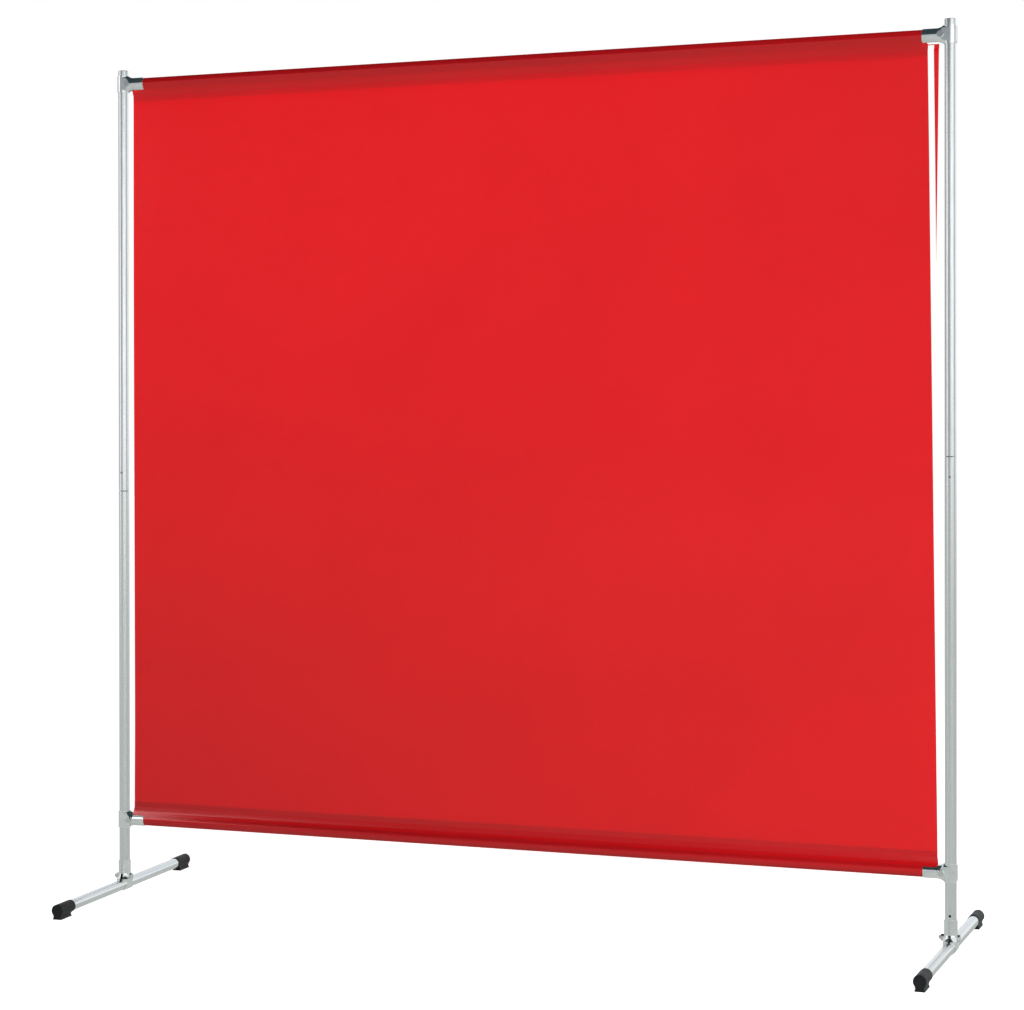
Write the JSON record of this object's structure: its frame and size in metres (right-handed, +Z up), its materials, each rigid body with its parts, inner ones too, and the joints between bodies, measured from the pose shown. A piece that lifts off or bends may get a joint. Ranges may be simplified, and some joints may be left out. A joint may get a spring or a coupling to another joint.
{
  "type": "welding curtain screen",
  "caption": "Free-standing welding screen: translucent red foil curtain on a bolted tube frame with two cross feet, capped ends and snap-button tube joints.",
  "frame": {"origin": "on the ground, midway between the two posts, in the plane of the curtain", "axes": "+Z up, -Y towards the front (bolt heads of the rail clamps and the post snap buttons face it), +X along the rails to the right"},
  "size_m": [2.0535, 0.6704, 2],
  "materials": {
    "zinc_tube": "bright galvanised steel tube, smooth with faint drawing lines",
    "zinc_clamp": "bright zinc-plated pressed sheet steel",
    "zinc_fastener": "bright zinc-plated M8 fasteners",
    "spring_steel": "plain spring steel",
    "black_rubber": "black moulded rubber, satin",
    "red_foil": "glossy translucent red PVC welding foil, 0.4 mm"
  },
  "bodies": {
    "screen": {"left_post_upper_tube": "zinc_tube", "left_post_lower_tube": "zinc_tube", "left_post_button_spring": "spring_steel", "right_post_upper_tube": "zinc_tube", "right_post_lower_tube": "zinc_tube", "right_post_button_spring": "spring_steel", "top_rail_left_tube": "zinc_tube", "top_rail_right_tube": "zinc_tube", "top_rail_button_spring": "spring_steel", "bottom_rail_left_tube": "zinc_tube", "bottom_rail_right_tube": "zinc_tube", "bottom_rail_button_spring": "spring_steel", "top_left_clamp_front": "zinc_clamp", "top_left_clamp_back": "zinc_clamp", "top_left_clamp_bolt": "zinc_fastener", "top_left_clamp_nut": "zinc_fastener", "top_right_clamp_front": "zinc_clamp", "top_right_clamp_back": "zinc_clamp", "top_right_clamp_bolt": "zinc_fastener", "top_right_clamp_nut": "zinc_fastener", "bottom_left_clamp_front": "zinc_clamp", "bottom_left_clamp_back": "zinc_clamp", "bottom_left_clamp_bolt": "zinc_fastener", "bottom_left_clamp_nut": "zinc_fastener", "bottom_right_clamp_front": "zinc_clamp", "bottom_right_clamp_back": "zinc_clamp", "bottom_right_clamp_bolt": "zinc_fastener", "bottom_right_clamp_nut": "zinc_fastener", "curtain_panel": "red_foil", "curtain_top_tunnel": "red_foil", "curtain_bottom_tunnel": "red_foil"},
    "left_foot": {"left_foot_tube": "zinc_tube", "left_foot_front_cap": "black_rubber", "left_foot_back_cap": "black_rubber", "left_foot_clamp_left_half": "zinc_clamp", "left_foot_clamp_right_half": "zinc_clamp", "left_foot_clamp_bolt": "zinc_fastener", "left_foot_clamp_nut": "zinc_fastener"},
    "right_foot": {"right_foot_tube": "zinc_tube", "right_foot_front_cap": "black_rubber", "right_foot_back_cap": "black_rubber", "right_foot_clamp_left_half": "zinc_clamp", "right_foot_clamp_right_half": "zinc_clamp", "right_foot_clamp_bolt": "zinc_fastener", "right_foot_clamp_nut": "zinc_fastener"},
    "left_post_button": {"left_post_snap_button": "spring_steel"},
    "right_post_button": {"right_post_snap_button": "spring_steel"},
    "top_rail_button": {"top_rail_snap_button": "spring_steel"},
    "bottom_rail_button": {"bottom_rail_snap_button": "spring_steel"}
  },
  "joints": [
    {"name": "left_foot_swivel", "type": "hinge", "parent": "screen", "child": "left_foot", "pos_m": [-1.002, 0, 0.0205], "axis": [0, 0, 1], "range_deg": [-90, 90]},
    {"name": "right_foot_swivel", "type": "hinge", "parent": "screen", "child": "right_foot", "pos_m": [1.002, 0, 0.0205], "axis": [0, 0, 1], "range_deg": [-90, 90]},
    {"name": "left_post_button_press", "type": "slide", "parent": "screen", "child": "left_post_button", "axis": [0, 1, 0], "range_m": [0, 0.0045], "stiffness_N_per_m": 1200, "springref_m": -0.004},
    {"name": "right_post_button_press", "type": "slide", "parent": "screen", "child": "right_post_button", "axis": [0, 1, 0], "range_m": [0, 0.0045], "stiffness_N_per_m": 1200, "springref_m": -0.004},
    {"name": "top_rail_button_press", "type": "slide", "parent": "screen", "child": "top_rail_button", "axis": [0, 0, 1], "range_m": [0, 0.0045], "stiffness_N_per_m": 1200, "springref_m": -0.004},
    {"name": "bottom_rail_button_press", "type": "slide", "parent": "screen", "child": "bottom_rail_button", "axis": [0, 0, -1], "range_m": [0, 0.0045], "stiffness_N_per_m": 1200, "springref_m": -0.004}
  ]
}
